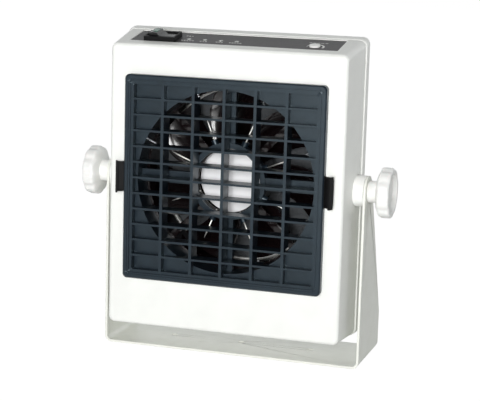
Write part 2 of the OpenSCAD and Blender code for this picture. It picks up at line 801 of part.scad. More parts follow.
// The speed dial: a low domed button with a pointer slot and a stem.
module dial() {
  rise = 0.5;
  dome_r = (pow(dial_d / 2, 2) + rise * rise) / (2 * rise);
  color(white) on_panel(dial_x, dial_s) difference() {
    union() {
      translate([0, 0, -0.25]) cylinder(d = dial_d, h = 1.15);
      intersection() {
        translate([0, 0, 1.4 - dome_r]) sphere(dome_r, $fn = 96);
        translate([0, 0, 0.8]) cylinder(d = dial_d, h = 2);
      }
      translate([0, 0, -7.4]) cylinder(d = 3, h = 7.5);
    }
    translate([-0.4, -0.4, 0.9]) cube([0.8, dial_d, 1]);
  }
}

module speed_pot() {
  color("#3b5d8f") on_panel(dial_x, dial_s) difference() {
    union() {
      translate([-4.9, -4.9, board_z + plate_t]) cube([9.8, 9.8, 5]);
      translate([0, 0, -4.2]) cylinder(d = 6, h = 1.5);
    }
    translate([0, 0, -7.6]) cylinder(d = 3.06, h = 8);
  }
}

// ---- back ----

// The appliance inlet: a flanged socket with a six-cornered recess.
module inlet_recess() {
  polygon([[-11.8, -7.9], [11.8, -7.9], [11.8, 3.4], [7.6, 7.9], [-7.6, 7.9], [-11.8, 3.4]]);
}

module power_inlet() {
  color(black) translate([inlet_x, 0, 0]) difference() {
    union() {
      deep(case_d, case_d + 2.2) translate([0, inlet_z]) rounded(30.6, 23.4, 2.4);
      deep(case_d - 15, case_d + 0.1) translate([0, inlet_z]) rounded(27.1, 19.9, 1.8);
    }
    deep(case_d - 12, case_d + 3) translate([0, inlet_z]) inlet_recess();
  }
}

// The three flat contacts of the inlet.
module inlet_pins() {
  color("silver") for (p = [[-7, -1.6], [7, -1.6], [0, 1.6]])
    translate([inlet_x + p[0] - 1, front_y + case_d - 12, inlet_z + p[1] - 2]) cube([2, 9.5, 4]);
}

// The earth stud with washer, hexagon nut and knurled thumb nut.
module earth_terminal() {
  color("goldenrod") difference() {
    union() {
      rod_y(case_d - 8, case_d + 9.5, 4, earth_x, inlet_z);
      rod_y(case_d, case_d + 0.8, 9, earth_x, inlet_z);
      translate([earth_x, front_y + case_d + 0.7, inlet_z]) rotate([-90, 0, 0])
        cylinder(d = 8, h = 2.6, $fn = 6);
      rod_y(case_d + 4.1, case_d + 8, 9, earth_x, inlet_z);
    }
    for (k = [0:17]) translate([earth_x, front_y + case_d + 3.8, inlet_z]) rotate([0, k * 20, 0])
      translate([4.6, 0, 0]) rotate([-90, 0, 0]) cylinder(d = 0.9, h = 5, $fn = 16);
  }
}

// The intake filter's snap-on frame: a shallow tray with slots in its back and four tongues.
module filter_frame() {
  tray_w = 130;
  tray_end = case_d + 12;
  slots = 13;
  pitch = 118 / slots;
  color(white) {
    difference() {
      axial(case_d + 0.1, tray_end) rounded(tray_w, tray_w, 5);
      axial(case_d, tray_end - 1.8) rounded(tray_w - 4, tray_w - 4, 3);
      for (k = [0:slots - 1], sx = [-1, 1])
        axial(tray_end - 3, tray_end + 1) translate([sx * 30, (k - (slots - 1) / 2) * pitch])
          rounded(56, pitch - 3.2, 1.6);
    }
    for (sx = [-1, 1], sz = [-1, 1])
      translate([sx * filter_hook_x, front_y + case_d - 0.4, grille_z + sz * filter_hook_z])
        cube([1.4, 9, 8], center = true);
  }
}

// The open-cell filter pad in the tray.
module filter_pad() {
  color("#55585a") axial(case_d + 3.4, case_d + 9.9) rounded(125.2, 125.2, 2.8);
}

// ---- drawing ----

stand_bracket();
knob_left();
knob_right();
stud_left();
stud_right();
spacer_left();
spacer_right();
insert_left();
insert_right();
front_case();
rear_cover();
cover_screw_1();
cover_screw_2();
cover_screw_3();
cover_screw_4();
grille();
latch_left();
latch_right();
emitter_frame();
frame_screws();
needle_1();
needle_2();
needle_3();
needle_4();
needle_5();
needle_6();
needle_7();
needle_8();
bus_ring();
earth_ring();
fan_frame();
motor_label();
stator();
bearing_front();
bearing_rear();
rotor();
magnet_ring();
fan_shaft();
fan_screws();
hv_module();
power_board();
control_board();
control_strip();
rocker_housing();
rocker();
rocker_lens();
lamp_1();
lamp_2();
lamp_3();
lamp_4();
dial();
speed_pot();
power_inlet();
inlet_pins();
earth_terminal();
filter_frame();
filter_pad();
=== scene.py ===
import json
import math

import bmesh
import bpy
import numpy as np
from mathutils import Matrix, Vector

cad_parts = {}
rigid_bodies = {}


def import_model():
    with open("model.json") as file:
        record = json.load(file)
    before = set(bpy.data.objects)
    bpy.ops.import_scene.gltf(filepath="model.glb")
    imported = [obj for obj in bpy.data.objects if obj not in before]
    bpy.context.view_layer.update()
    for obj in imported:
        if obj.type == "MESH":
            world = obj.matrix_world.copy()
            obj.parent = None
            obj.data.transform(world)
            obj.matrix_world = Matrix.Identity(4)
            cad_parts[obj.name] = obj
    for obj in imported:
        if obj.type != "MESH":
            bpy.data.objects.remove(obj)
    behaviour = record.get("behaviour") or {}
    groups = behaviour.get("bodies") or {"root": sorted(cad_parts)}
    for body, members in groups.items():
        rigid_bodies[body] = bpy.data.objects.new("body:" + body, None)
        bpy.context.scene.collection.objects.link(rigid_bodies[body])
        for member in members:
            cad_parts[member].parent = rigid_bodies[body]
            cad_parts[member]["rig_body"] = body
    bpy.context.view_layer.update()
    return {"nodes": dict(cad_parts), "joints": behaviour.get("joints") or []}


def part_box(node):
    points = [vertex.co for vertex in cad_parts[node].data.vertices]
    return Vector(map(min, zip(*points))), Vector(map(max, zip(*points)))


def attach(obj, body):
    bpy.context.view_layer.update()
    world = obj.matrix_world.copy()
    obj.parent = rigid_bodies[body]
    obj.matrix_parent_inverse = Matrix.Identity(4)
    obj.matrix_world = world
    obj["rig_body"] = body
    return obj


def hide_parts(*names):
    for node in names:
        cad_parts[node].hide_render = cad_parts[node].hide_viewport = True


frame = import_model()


# ---- Stand -------------------------------------------------------------------------------------
# The bent stand is 1.6 mm sheet steel, laser cut and folded twice, then powder coated off-white.
# The coat softens the cut edges and has the faint orange peel of a baked powder.

MM = 0.001
CAD_WELD = 0.002 * MM


def linear(code):
    """An sRGB hex colour as linear RGBA. A channel c above 0.04045 becomes ((c + 0.055) / 1.055) to
    the power 2.4, and a darker one c / 12.92."""
    channels = np.array([int(code[k:k + 2], 16) for k in (1, 3, 5)]) / 255
    curved = np.where(channels > 0.04045, ((channels + 0.055) / 1.055) ** 2.4, channels / 12.92)
    return (*curved.tolist(), 1.0)


def put(tree, kind, sockets=None, **settings):
    """Adds one shader node. Settings are its own options; each socket gets a value or a link."""
    node = tree.nodes.new("ShaderNode" + kind)
    for name, value in settings.items():
        setattr(node, name, value)
    for name, value in (sockets or {}).items():
        if isinstance(value, bpy.types.NodeSocket):
            tree.links.new(value, node.inputs[name])
        else:
            node.inputs[name].default_value = value
    return node


def finish_of(name, **constants):
    """A new material named for what it is, with the shader sockets that are the same all over."""
    material = bpy.data.materials.new(name)
    material.use_nodes = True
    tree = material.node_tree
    shader = tree.nodes["Principled BSDF"]
    for socket, value in constants.items():
        shader.inputs[socket.replace("_", " ")].default_value = value
    return material, tree, shader


def mottle(tree, size_mm, detail=2.0, stretch=(1, 1, 1)):
    """Noise in the object's own space, with lumps about size_mm across. They are longer along an axis
    whose stretch is under 1."""
    place = put(tree, "TexCoord")
    scaled = put(tree, "Mapping", {"Vector": place.outputs["Object"], "Scale": stretch})
    return put(tree, "TexNoise", {
        "Vector": scaled.outputs["Vector"], "Scale": 1 / (size_mm * MM), "Detail": detail,
    }).outputs["Fac"]


def tint(tree, shader, factor, dark, light):
    """Runs the base colour between two hex colours as a factor goes from 0.3 to 0.7, where nearly all
    of the noise lies."""
    ramp = put(tree, "ValToRGB", {"Fac": factor})
    for stop, position, colour in ((0, 0.3, dark), (1, 0.7, light)):
        ramp.color_ramp.elements[stop].position = position
        ramp.color_ramp.elements[stop].color = linear(colour)
    tree.links.new(ramp.outputs["Color"], shader.inputs["Base Color"])


def gloss(tree, shader, factor, low, high):
    """Runs the roughness between two values with a factor."""
    spread = put(tree, "MapRange", {"Value": factor, "To Min": low, "To Max": high})
    tree.links.new(spread.outputs["Result"], shader.inputs["Roughness"])


def relief(tree, shader, height, depth_mm):
    """Turns a height pattern into bumps of the given depth."""
    bump = put(tree, "Bump", {"Height": height, "Distance": depth_mm * MM, "Strength": 1.0})
    tree.links.new(bump.outputs["Normal"], shader.inputs["Normal"])


def powder_coat():
    """Baked polyester powder: satin, off-white, with orange peel of about 1.6 mm pitch."""
    material, tree, shader = finish_of("powder_coated_steel", IOR=1.5)
    tint(tree, shader, mottle(tree, 9.0), "#eaebe3", "#eff0e9")
    gloss(tree, shader, mottle(tree, 4.0), 0.30, 0.40)
    relief(tree, shader, mottle(tree, 1.6, 1.0), 0.015)
    return material


def add_object(name, data):
    """A new object at the origin that holds the given mesh, light or camera."""
    thing = bpy.data.objects.new(name, data)
    bpy.context.scene.collection.objects.link(thing)
    return thing


def weld_and_shade(mesh, material, weld, sharp, outward=False):
    """Joins points that are closer than the weld distance, turns the faces outwards where that is
    asked for, and shades each edge smooth that bends by less than the sharp angle in degrees."""
    work = bmesh.new()
    work.from_mesh(mesh)
    bmesh.ops.remove_doubles(work, verts=work.verts, dist=weld)
    if outward:
        bmesh.ops.recalc_face_normals(work, faces=work.faces)
    work.to_mesh(mesh)
    work.free()
    mesh.materials.clear()
    mesh.materials.append(material)
    mesh.shade_smooth()
    mesh.set_sharp_from_angle(angle=math.radians(sharp))


def finished(node, material, broken_mm=0.0, sharp=32.0):
    """A CAD node's mesh, welded and shaded smooth on its curves. Every edge sharper than the given
    angle is broken by a small round, and the flats beside the round keep an even shade."""
    mesh = frame["nodes"][node].data.copy()
    mesh.name = node + "_surface"
    weld_and_shade(mesh, material, CAD_WELD, sharp)
    piece = add_object(node + "_finished", mesh)
    if broken_mm:
        edge = piece.modifiers.new("broken_edges", "BEVEL")
        edge.width = broken_mm * MM
        edge.segments = 2
        edge.limit_method = "ANGLE"
        edge.angle_limit = math.radians(sharp)
        edge.harden_normals = True
        edge.miter_outer = "MITER_ARC"
        even = piece.modifiers.new("even_shading", "WEIGHTED_NORMAL")
        even.weight = 100
        even.keep_sharp = True
    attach(piece, frame["nodes"][node]["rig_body"])
    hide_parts(node)


def repaint(nodes, material):
    """Gives CAD nodes whose shape stays as it is their finish."""
    for node in nodes:
        frame["nodes"][node].data.materials.clear()
        frame["nodes"][node].data.materials.append(material)


finished("stand_bracket", powder_coat(), 0.35)


# ---- Case --------------------------------------------------------------------------------------
# The front shell and the rear cover are injection-moulded ABS, white, with a fine spark-eroded grain.
# They meet at a seam behind which the cover stands a little proud; four screws hold them from behind.

def moulded_abs(name, dark, light, rough=0.42):
    """Moulded ABS. The real grain is about 0.2 mm; it is drawn at 0.7 mm so that it shows."""
    material, tree, shader = finish_of(name, IOR=1.53)
    tint(tree, shader, mottle(tree, 14.0), dark, light)
    gloss(tree, shader, mottle(tree, 5.0), rough - 0.05, rough + 0.05)
    relief(tree, shader, mottle(tree, 0.7, 3.0), 0.012)
    return material


white_abs = moulded_abs("white_moulded_abs", "#f0f1ed", "#f4f5f1")
for shell in ("front_case", "rear_cover"):
    finished(shell, white_abs, 0.25, sharp=40)


# ---- Screws ------------------------------------------------------------------------------------
# Small cold-headed steel screws, zinc plated. Four hold the rear cover, four the fan and four the
# emitter frame.

def zinc_plate():
    """Bright zinc on steel: pale and slightly blue, its tone drawn out along the screws."""
    material, tree, shader = finish_of("zinc_plated_steel", Metallic=1.0)
    tint(tree, shader, mottle(tree, 1.2, stretch=(1, 0.2, 1)), "#a9adb2", "#c6cace")
    gloss(tree, shader, mottle(tree, 0.8), 0.24, 0.36)
    return material


zinc = zinc_plate()
for screws in [f"cover_screw_{k}" for k in range(1, 5)] + ["fan_screws", "frame_screws"]:
    finished(screws, zinc, 0.12)


# ---- Tilt axis ---------------------------------------------------------------------------------
# Each side has a moulded nylon knob with finger flutes and a dished face, on a steel stud that runs
# through the arm and a round spacer into a brass insert in the case wall.

SKIN_WELD = 0.0001 * MM


def grid_mesh(name, points, material, sharp=40.0):
    """A closed skin from a grid of points, rows by columns. Columns join round, and the first and last
    rows close on a pole or an edge; points that fall together are welded."""
    rows, columns = points.shape[:2]
    index = np.arange(rows * columns).reshape(rows, columns)
    right = np.roll(index, -1, axis=1)
    faces = np.stack([index[:-1], right[:-1], right[1:], index[1:]], axis=-1).reshape(-1, 4)
    mesh = bpy.data.meshes.new(name)
    mesh.from_pydata(points.reshape(-1, 3).tolist(), [], faces.tolist())
    weld_and_shade(mesh, material, SKIN_WELD, sharp, outward=True)
    return add_object(name, mesh)


def full_turn(steps):
    """Angles spaced evenly round a circle, in radians."""
    return np.linspace(0, 2 * np.pi, steps, endpoint=False)


def arc(centre_a, centre_r, radius, start, end, steps):
    """Points on a round of a profile as (along, radius) pairs. At an angle t, from start to end in
    degrees, they lie radius sin t along and radius cos t out from the round's centre."""
    angle = np.radians(np.linspace(start, end, steps))
    return np.stack([centre_a + radius * np.sin(angle), centre_r + radius * np.cos(angle)], axis=1)


def moulded_nylon():
    """Moulded white nylon: a little warm and waxy, smoother than the case."""
    material, tree, shader = finish_of("white_moulded_nylon", IOR=1.52, Subsurface_Weight=0.08)
    shader.inputs["Subsurface Radius"].default_value = (0.004, 0.003, 0.003)
    tint(tree, shader, mottle(tree, 6.0), "#f0f0ed", "#f5f5f3")
    gloss(tree, shader, mottle(tree, 3.0), 0.30, 0.40)
    return material


def knob_skin(side):
    """A knob as a profile turned about the tilt axis. At angle t the rim is drawn in by ten flutes:
    the depth is a cosine hump raised to the fourth power, and it fades out towards the neck."""
    low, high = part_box("knob_" + side)
    middle = (low + high) / 2
    rim_r = (high.z - low.z) / 2
    length = high.x - low.x
    neck_r, stud_r, back_r = 7.0 * MM, 3.02 * MM, rim_r - 3.6 * MM
    head = length - 9 * MM
    bore_end = head + 4 * MM
    draft, rim_back = 0.1 * MM, 1.1 * MM
    soft_edge, fillet, rounding = 0.3 * MM, 0.8 * MM, 1.8 * MM
    dish_r, lip = rim_r - 4 * MM, 0.6 * MM
    dish_floor = length - 3 * MM
    flutes, flute_deep, flute_fade = 10, 0.8 * MM, 3.4 * MM
    profile = np.concatenate([
        [[bore_end, 0], [bore_end, stud_r], [0, stud_r]],
        [[0, neck_r - soft_edge], [soft_edge, neck_r]],
        arc(head - fillet, neck_r + fillet, fillet, 180, 90, 5),
        [[head + draft, back_r]],
        arc(head + rim_back + rounding, rim_r - rounding, rounding, -60, 0, 5),
        arc(length - rounding, rim_r - rounding, rounding, 0, 90, 7),
        arc(length - lip, dish_r + lip, lip, 90, 180, 4),
        [[dish_floor + 0.4 * MM, dish_r - 0.7 * MM]],
        arc(dish_floor + lip, dish_r - 1.4 * MM, lip, 0, -90, 4),
        [[dish_floor, 0]],
    ])
    turn = full_turn(240)
    along, radius = profile[:, :1], profile[:, 1:]
    hump = np.cos(flutes / 2 * turn)[None, :] ** 4
    reach = np.clip((radius - (rim_r - flute_fade)) / flute_fade, 0, 1)
    radius = radius - flute_deep * hump * reach
    sign, foot = (1, low.x) if side == "right" else (-1, high.x)
    points = np.stack([
        foot + sign * (along + 0 * turn),
        middle.y + radius * np.cos(turn),
        middle.z + radius * np.sin(turn),
    ], axis=-1)
    piece = grid_mesh(f"knob_{side}_moulding", points, nylon, sharp=50)
    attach(piece, f"knob_{side}_unit")
    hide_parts("knob_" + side)


def turned_brass():
    """Free-cutting brass, turned: warm yellow, with tool marks about 0.5 mm across."""
    material, tree, shader = finish_of("turned_brass", Metallic=1.0)
    tint(tree, shader, mottle(tree, 2.0), "#b08f4a", "#c9a862")
    gloss(tree, shader, mottle(tree, 0.5), 0.22, 0.36)
    return material


nylon = moulded_nylon()
brass = turned_brass()
for side in ("left", "right"):
    knob_skin(side)
    finished("spacer_" + side, nylon, 0.3)
    finished("stud_" + side, zinc, 0.2)
repaint(("insert_left", "insert_right"), brass)


# ---- Emitter -----------------------------------------------------------------------------------
# A slate moulding carries eight ground needles in sockets on its hub ring; a blackened brass ring joins
# them to the high voltage, and a stamped steel band round the duct holds the earthed pins.

SLATE_CAST = (0.76, 0.92, 1.0)
NEEDLES = 8


def satin_skin(name, dark, light, rough, sheen=0.5, grain_mm=0.9, cast=(1.0, 1.0, 1.0)):
    """A satin, finely eroded or cast skin. The grain traps part of the sheen, so the specular level
    may be under the plain 0.5, and a pigmented skin gives the sheen a slight cast."""
    material, tree, shader = finish_of(
        name, IOR=1.55, Specular_IOR_Level=sheen, Specular_Tint=(*cast, 1.0))
    tint(tree, shader, mottle(tree, 7.0), dark, light)
    gloss(tree, shader, mottle(tree, 3.0), rough - 0.06, rough + 0.06)
    relief(tree, shader, mottle(tree, grain_mm, 3.0), 0.012)
    return material


def ground_needle():
    """Ground tungsten wire: bright metal, a little uneven where the wheel cut it."""
    material, tree, shader = finish_of("ground_tungsten", Metallic=1.0)
    tint(tree, shader, mottle(tree, 0.6), "#efeee8", "#fbfaf5")
    gloss(tree, shader, mottle(tree, 0.5), 0.38, 0.52)
    return material


finished("emitter_frame", satin_skin(
    "slate_moulded_polycarbonate", "#131b23", "#18222b", 0.32, cast=SLATE_CAST), 0.3)
needle_metal = ground_needle()
for k in range(NEEDLES):
    finished(f"needle_{k + 1}", needle_metal)
repaint(["bus_ring"], satin_skin("blackened_brass", "#141210", "#1c1a16", 0.45, 0.3))
repaint(["earth_ring"], zinc)


# ---- Fan ---------------------------------------------------------------------------------------
# A standard square axial fan with its motor base and four struts towards the front. Frame and rotor
# are glossy black glass-filled plastic; a bare film label covers the motor base.

BLADES = 7


def glossy_black():
    """Black moulded PBT off a polished tool: near mirror gloss with flow waves, slightly brown."""
    material, tree, shader = finish_of("glossy_black_pbt", IOR=1.57)
    tint(tree, shader, mottle(tree, 11.0), "#0e0809", "#150d0e")
    gloss(tree, shader, mottle(tree, 6.0), 0.08, 0.18)
    relief(tree, shader, mottle(tree, 7.0, 1.0), 0.05)
    return material


def blade_skin(turn, low, high):
    """One swept blade. u runs along the section and back on its other side, v from the hub to the tip.
    Angle = 13 v^2 + (u - 1/2)(43 - 9 v) degrees, depth = 3.1 + 1.2 v + (14.5 - 3.4 v) u^1.15 mm behind
    the rotor's front. The half thickness is a sine hump of u, fuller towards the outlet side, over
    0.04 mm; it falls to nothing at the hub and at the tip, which closes both ends."""
    sections, stations = 25, 19
    sweep, chord, chord_loss = 13, 43, 9
    front, front_rise, deep, deep_loss, camber = 3.1, 1.2, 14.5, 3.4, 1.15
    edge_half, body_half = 0.04, 0.9
    hub_r = 22.6 * MM
    tip_r = (high.z - low.z) / 2
    along = np.linspace(0, 1, sections)
    u = np.concatenate([along, along[-2:0:-1]])[None, :]
    face = np.concatenate([-np.ones(sections), np.ones(sections - 2)])[None, :]
    v = np.concatenate([[0], np.linspace(0, 1, stations), [1]])[:, None]
    thick = np.concatenate([[0], np.ones(stations), [0]])[:, None]
    radius = hub_r + v * (tip_r - hub_r) + 0 * u
    angle = np.radians(turn + sweep * v ** 2 + (u - 0.5) * (chord - chord_loss * v))
    hump = np.sin(np.pi * u).clip(0) ** 0.7 * (1.15 - 0.5 * u)
    half = thick * (edge_half + body_half * hump) * MM
    depth = (front + front_rise * v + (deep - deep_loss * v) * u ** camber) * MM + face * half
    centre = (low + high) / 2
    return np.stack([
        centre.x + radius * np.cos(angle),
        low.y + depth,
        centre.z - radius * np.sin(angle),
    ], axis=-1)


def rotor_skin():
    """The hub cup is a turned profile, closed at the intake side, with the blades let into its wall."""
    low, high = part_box("rotor")
    centre = (low + high) / 2
    outer, inner, rounding = 23.0 * MM, 21.5 * MM, 1.5 * MM
    boss, bore = 4.5 * MM, 1.51 * MM
    back = high.y - low.y
    boss_end, inside, bore_end = back - 4 * MM, back - 1.8 * MM, back - 1.7 * MM
    profile = np.concatenate([
        [[bore_end, 0], [bore_end, bore], [boss_end, bore], [boss_end, boss]],
        [[inside, boss], [inside, inner], [0, inner], [0, outer]],
        arc(back - rounding, outer - rounding, rounding, 0, 90, 6),
        [[back, 0]],
    ])
    turn = full_turn(128)
    along, radius = profile[:, :1], profile[:, 1:]
    cup = np.stack([
        centre.x + radius * np.cos(turn),
        low.y + along + 0 * turn,
        centre.z + radius * np.sin(turn),
    ], axis=-1)
    hub = grid_mesh("rotor_hub", cup, black_pbt, sharp=35)
    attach(hub, "fan_rotor")
    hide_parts("rotor")
    for k in range(BLADES):
        skin = blade_skin(k * 360 / BLADES, low, high)
        blade = grid_mesh(f"rotor_blade_{k + 1}", skin, black_pbt, sharp=60)
        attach(blade, "fan_rotor")


def label_film():
    """White polyester film with a faint ripple from the adhesive. Its colour is set nearly to pure
    white, above a real film's white, as painted reflection for the brightness it shows behind the
    grille.
    """
    material, tree, shader = finish_of("white_polyester_film", IOR=1.58)
    # Near pure white: partly the film's own white, partly painted reflection of the bright floor in
    # front.
    tint(tree, shader, mottle(tree, 8.0), "#f9fafc", "#fdfdfe")
    gloss(tree, shader, mottle(tree, 4.0), 0.18, 0.28)
    relief(tree, shader, mottle(tree, 5.0, 1.0), 0.02)
    return material


def wound_stator():
    """Enamelled copper on laminated steel: orange-brown, with turns about 0.5 mm apart."""
    material, tree, shader = finish_of("enamelled_copper", Metallic=0.8)
    tint(tree, shader, mottle(tree, 0.5, stretch=(1, 6, 1)), "#8a4f26", "#b8713d")
    gloss(tree, shader, mottle(tree, 1.0), 0.25, 0.4)
    return material


black_pbt = glossy_black()
finished("fan_frame", black_pbt, 0.3)
rotor_skin()
finished("motor_label", label_film(), 0.05)
repaint(["stator"], wound_stator())
repaint(["bearing_front", "bearing_rear", "fan_shaft"], zinc)
repaint(["magnet_ring"], satin_skin("sintered_ferrite", "#2b2b2d", "#353537", 0.6))


# ---- Grille and latches ------------------------------------------------------------------------
# The grille is one moulding in slate polycarbonate: a bevelled frame, six by twelve cells, and blades
# that run back into the duct. A black latch on each side swings on two trunnions.

slate = satin_skin("slate_satin_polycarbonate", "#141c24", "#19232c", 0.32, cast=SLATE_CAST)
finished("grille", slate, 0.22)
black_abs = satin_skin("black_satin_abs", "#0c0c0d", "#121213", 0.5, 0.15)
for side in ("left", "right"):
    finished("latch_" + side, black_abs, 0.15)


# ---- Control strip -----------------------------------------------------------------------------
# Dark grey ink on the back of a matt polyester film, stuck down in a shallow recess of the sloping
# top. The switch, the lamps and the dial come up through it.

def printed_film():
    """Dark grey ink behind a matt film, with the fine tooth of its surface."""
    material, tree, shader = finish_of("printed_polyester_film", IOR=1.55)
    tint(tree, shader, mottle(tree, 12.0), "#373536", "#3d3b3c")
    gloss(tree, shader, mottle(tree, 2.0), 0.42, 0.52)
    relief(tree, shader, mottle(tree, 0.8, 2.0), 0.008)
    return material


finished("control_strip", printed_film(), 0.06)


# ---- Rocker switch -----------------------------------------------------------------------------
# A black snap-in housing holds a glossy moulded rocker. Its raised end carries a small green lens,
# pressed in from above.

ROCKER_REST = 12


def clear_tinted(name, dark, light, see_through):
    """Clear tinted plastic over a dark well, partly see-through."""
    material, tree, shader = finish_of(
        name, IOR=1.49, Transmission_Weight=see_through, Coat_Weight=0.4)
    tint(tree, shader, mottle(tree, 2.0), dark, light)
    gloss(tree, shader, mottle(tree, 2.0), 0.08, 0.2)
    return material


def panel_frame(joint_name):
    """The place of a control's axis, and the panel's own directions: right, up the slope and out."""
    joints = {joint["name"]: joint for joint in frame["joints"]}
    right = np.array([1.0, 0.0, 0.0])
    out = np.array(joints["dial_turn"]["axis"])
    return np.array(joints[joint_name]["pos_m"]), right, np.cross(out, right), out


def rocker_block(name, outline, depth_mm, material, node):
    """A side outline of (x, z) points in mm about the rocker's axis, turned to its resting angle and
    carried across its depth, with both ends closed on their middle."""
    spot, right, slope, out = panel_frame("rocker_tip")
    x, z = np.array(outline).T * MM
    rest = math.radians(ROCKER_REST)
    side = np.outer(x * math.cos(rest) + z * math.sin(rest), right)
    side = spot + side + np.outer(z * math.cos(rest) - x * math.sin(rest), out)
    middle = side.mean(axis=0) + 0 * side
    reach = depth_mm / 2 * MM * slope
    layers = np.stack([middle - reach, side - reach, side + reach, middle + reach])
    piece = grid_mesh(name, layers, material, sharp=30)
    edge = piece.modifiers.new("broken_edges", "BEVEL")
    edge.width = 0.25 * MM
    edge.segments = 2
    edge.limit_method = "ANGLE"
    edge.harden_normals = True
    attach(piece, "rocker_unit")
    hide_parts(node)


finished("rocker_housing", black_abs, 0.2)
gloss_abs = satin_skin("black_gloss_abs", "#0d0e0f", "#131415", 0.2, grain_mm=3.0)
rocker_block("rocker_moulding", [
    (-8.2, 4.3), (-8.2, 3.0), (-5.4, -3.4), (5.4, -3.4), (8.2, 3.0), (8.2, 5.0),
    (1.6, 3.5), (-2.2, 4.1), (-3.2, 5.4), (-6.2, 5.1),
], 11.2, gloss_abs, "rocker")
rocker_block("rocker_green_lens", [
    (-6.6, 4.9), (-6.6, 5.25), (-3.7, 5.6), (-3.7, 4.9),
], 6.4, clear_tinted("green_lens", "#2f6e58", "#58a285", 0.35), "rocker_lens")


# ---- Indicator lamps ---------------------------------------------------------------------------
# Four small lamps in a row stand on the control board. Each is a diffused plastic lens that ends
# nearly flush with the strip, in a shallow cap.

LAMPS = 4
LAMP_SLOPE, LAMP_LEVEL = 2.3 * MM, -0.35 * MM


def lamp_across(k):
    """How far the middle of one lamp is to the right of the dial's axis."""
    low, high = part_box(f"lamp_{k}")
    return (low.x + high.x) / 2 - panel_frame("dial_turn")[0][0]


def lamp_skin(k):
    """A flush lamp: a cylinder whose top is a shallow cap, with radius falling as the square root of
    1 - h^2, where h is the height over the cap's rise."""
    spot, right, slope, out = panel_frame("dial_turn")
    rim, rise, foot = 1.5 * MM, 0.25 * MM, 7.5 * MM
    top = spot + right * lamp_across(k) + slope * LAMP_SLOPE + out * LAMP_LEVEL
    turn = full_turn(32)
    h = np.linspace(0, 1, 7)
    radius = rim * np.concatenate([[0, 1], np.sqrt(1 - h ** 2)])[:, None, None]
    height = np.concatenate([[-foot, -foot], h * rise])[:, None, None]
    across = np.cos(turn)[:, None] * right + np.sin(turn)[:, None] * slope
    return top + radius * across[None] + height * out


lamp_lens = clear_tinted("diffused_lamp_lens", "#b9bdb6", "#d5d8d2", 0.25)
for k in range(1, LAMPS + 1):
    lamp = grid_mesh(f"lamp_{k}_lens", lamp_skin(k), lamp_lens)
    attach(lamp, "case")
    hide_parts(f"lamp_{k}")


# ---- Speed dial --------------------------------------------------------------------------------
# A low domed button of white ABS with a pointer slot. Its stem reaches down through the strip to a
# small blue trimmer that is soldered to the control board.

finished("dial", moulded_abs("white_dial_abs", "#f1f1ee", "#f6f6f4", 0.3), 0.12)
repaint(["speed_pot"], satin_skin("blue_trimmer_body", "#2a4a7a", "#31548a", 0.4))


# ---- Printed marks -----------------------------------------------------------------------------
# White ink screened on the strip: an arc that swells round the dial, a row of bars above the dial,
# and short plain bars below each lamp and above the first one.

dial_spot, across, slope, up = panel_frame("dial_turn")
INK_FOOT, INK_TOP = -0.42 * MM, -0.36 * MM
ARC_START, ARC_END, ARC_STEPS = 184, -20, 48
ARC_R, ARC_THIN, ARC_THICK = 4.9, 0.4, 1.5
DIAL_BARS, DIAL_BAR_FIRST, DIAL_BAR_PITCH, DIAL_BAR_ROW = 5, -5.0, 2.6, 9.2
MARK_WIDE, MARK_HIGH, MARK_PITCH = 1.3, 0.8, 1.75
MARK_ROW, UPPER_ROW, UPPER_SHIFT = -1.2, 9.6, -1.9


def white_ink():
    """Screen-printed ink: chalky white, thin at its edges."""
    material, tree, shader = finish_of("white_screen_ink", IOR=1.48)
    tint(tree, shader, mottle(tree, 0.8), "#dcdcd8", "#f2f2ef")
    gloss(tree, shader, mottle(tree, 1.0), 0.5, 0.6)
    return material


def print_mark(name, inner, outer, closed=True):
    """A flat printed shape between two outlines of (x, s) points in mm from the dial's centre, where s
    runs up the slope. The section round the ink is foot, top, top, foot; an open shape gets square
    ends."""
    ring = np.stack([
        dial_spot + MM * (line[:, :1] * across + line[:, 1:] * slope) + height * up
        for line, height in ((inner, INK_FOOT), (inner, INK_TOP), (outer, INK_TOP), (outer, INK_FOOT))
    ])
    rows = np.concatenate([ring, ring[:1]]) if closed else np.swapaxes(ring, 0, 1)
    if not closed:
        ends = rows.mean(axis=1, keepdims=True)[[0, -1]] + 0 * rows[[0, -1]]
        rows = np.concatenate([ends[:1], rows, ends[1:]])
    piece = grid_mesh(name, rows, ink, sharp=30)
    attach(piece, "case")


def superellipse(steps, power):
    """Points round the curve where |x| to the power plus |y| to the power is 1: a square with ever
    tighter corners as the power grows."""
    turn = full_turn(steps)
    unit = np.stack([np.cos(turn), np.sin(turn)], axis=1)
    return np.sign(unit) * np.abs(unit) ** (2 / power)


def bar_print(name, x, s, width, height):
    """A short bar of ink with soft corners: a superellipse of power six, filled to its middle line."""
    shape = superellipse(24, 6) * [width / 2, height / 2]
    print_mark(name, shape * [0.5, 0.0] + [x, s], shape + [x, s])


ink = white_ink()
sweep = np.radians(np.linspace(ARC_START, ARC_END, ARC_STEPS))
spoke = np.stack([np.cos(sweep), np.sin(sweep)], axis=1)
swell = np.linspace(ARC_THIN, ARC_THICK, ARC_STEPS)[:, None]
print_mark("speed_arc_print", spoke * ARC_R, spoke * (ARC_R + swell), closed=False)
for k in range(DIAL_BARS):
    bar_x = DIAL_BAR_FIRST + DIAL_BAR_PITCH * k
    bar_print(f"dial_print_{k + 1}", bar_x, DIAL_BAR_ROW, 1.9, 0.6)

lamp_rows = [
    (k, lamp_across(k) / MM, MARK_ROW, marks) for k, marks in zip(range(1, LAMPS + 1), (5, 3, 3, 5))
]
upper_row = (LAMPS + 1, lamp_across(1) / MM + UPPER_SHIFT, UPPER_ROW, 3)
for k, x, s, marks in lamp_rows + [upper_row]:
    for n in range(marks):
        mark_x = x + (n - (marks - 1) / 2) * MARK_PITCH
        bar_print(f"lamp_print_{k}_{n + 1}", mark_x, s, MARK_WIDE, MARK_HIGH)


